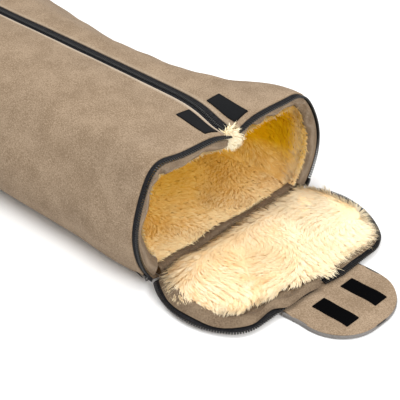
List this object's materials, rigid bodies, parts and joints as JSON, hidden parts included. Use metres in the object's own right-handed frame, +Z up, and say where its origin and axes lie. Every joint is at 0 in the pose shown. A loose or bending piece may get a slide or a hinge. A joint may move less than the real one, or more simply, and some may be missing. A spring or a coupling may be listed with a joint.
{
  "type": "foot warmer muff",
  "caption": "Lambskin-lined wool felt muff lying on its back, zipped up the middle, with a zip-round foot flap folded open and a touch-tape closing tab.",
  "frame": {"origin": "a point on the underside of the back panel, 500 mm behind the mouth of the foot end and in line with its middle", "axes": "+X along the bag towards the foot flap, +Z up towards the main zip, +Y to the right of someone who faces the open foot end"},
  "size_m": [1.2685, 0.4246, 0.1958],
  "materials": {
    "wool_felt": "heathered beige wool felt",
    "facing_felt": "smooth greyish beige felt",
    "lambskin": "cream to gold lambskin pile",
    "zip_tape": "black woven tape",
    "zip_teeth": "black moulded",
    "touch_tape": "black hook and loop tape",
    "grey_edge": "grey felt"
  },
  "bodies": {
    "bag": {"front_shell_left": "wool_felt", "front_shell_right": "wool_felt", "back_shell": "wool_felt", "head_binding_left": "wool_felt", "head_binding_right": "wool_felt", "back_binding": "wool_felt", "hinge_strip": "wool_felt", "front_lining_left": "lambskin", "front_lining_right": "lambskin", "back_lining": "lambskin", "lining_tuft": "lambskin", "mouth_facing_left": "facing_felt", "mouth_facing_right": "facing_felt", "mouth_facing_bottom": "facing_felt", "main_zip_tape_left": "zip_tape", "main_zip_tape_right": "zip_tape", "main_zip_teeth_left": "zip_teeth", "main_zip_teeth_right": "zip_teeth", "main_zip_top_stop_left": "zip_teeth", "main_zip_top_stop_right": "zip_teeth", "main_zip_bottom_stop": "zip_teeth", "mouth_zip_tape_left": "zip_tape", "mouth_zip_tape_right": "zip_tape", "mouth_zip_teeth_left": "zip_teeth", "mouth_zip_teeth_right": "zip_teeth", "loop_pad_left": "touch_tape", "loop_pad_right": "touch_tape"},
    "flap": {"flap_outer_panel": "wool_felt", "flap_facing": "facing_felt", "flap_lambskin": "lambskin", "flap_zip_teeth_left": "zip_teeth", "flap_zip_teeth_right": "zip_teeth", "flap_zip_tape_left": "zip_tape", "flap_zip_tape_right": "zip_tape", "tab_root": "wool_felt"},
    "tab": {"tab_lower_panel": "grey_edge", "tab_upper_panel": "wool_felt", "tab_binding": "grey_edge", "hook_strip_left": "touch_tape", "hook_strip_right": "touch_tape"},
    "main_slider": {"main_zip_slider": "zip_teeth"},
    "main_pull": {"main_zip_pull": "zip_teeth"},
    "foot_slider_left": {"foot_zip_slider_left": "zip_teeth"},
    "foot_slider_right": {"foot_zip_slider_right": "zip_teeth"},
    "foot_pull_left": {"foot_zip_pull_left": "zip_teeth"},
    "foot_pull_right": {"foot_zip_pull_right": "zip_teeth"}
  },
  "joints": [
    {"name": "flap_hinge", "type": "hinge", "parent": "bag", "child": "flap", "pos_m": [0.5, 0, 0.012], "axis": [0, -1, 0], "range_deg": [0, 90]},
    {"name": "tab_fold", "type": "hinge", "parent": "flap", "child": "tab", "pos_m": [0.68001, 0, 0.0037], "axis": [0, -1, 0], "range_deg": [0, 85]},
    {"name": "main_zip_slide", "type": "slide", "parent": "bag", "child": "main_slider", "axis": [0.9976, 0.0698, 0], "range_m": [0, 0.6]},
    {"name": "main_pull_hinge", "type": "hinge", "parent": "main_slider", "child": "main_pull", "pos_m": [-0.239, -0.0479, 0.1949], "axis": [0, -1, 0], "range_deg": [0, 175]},
    {"name": "foot_zip_left", "type": "hinge", "parent": "bag", "child": "foot_slider_left", "pos_m": [0.494, -0.057, 0.086], "axis": [-1, 0, 0], "range_deg": [0, 70]},
    {"name": "foot_zip_right", "type": "hinge", "parent": "bag", "child": "foot_slider_right", "pos_m": [0.494, 0.057, 0.086], "axis": [1, 0, 0], "range_deg": [0, 70]},
    {"name": "foot_pull_left_hinge", "type": "hinge", "parent": "foot_slider_left", "child": "foot_pull_left", "pos_m": [0.4866, -0.16703, 0.01436], "axis": [0, -0.5456, 0.838], "range_deg": [0, 120]},
    {"name": "foot_pull_right_hinge", "type": "hinge", "parent": "foot_slider_right", "child": "foot_pull_right", "pos_m": [0.4866, 0.16703, 0.01436], "axis": [0, -0.5456, -0.838], "range_deg": [0, 120]}
  ]
}
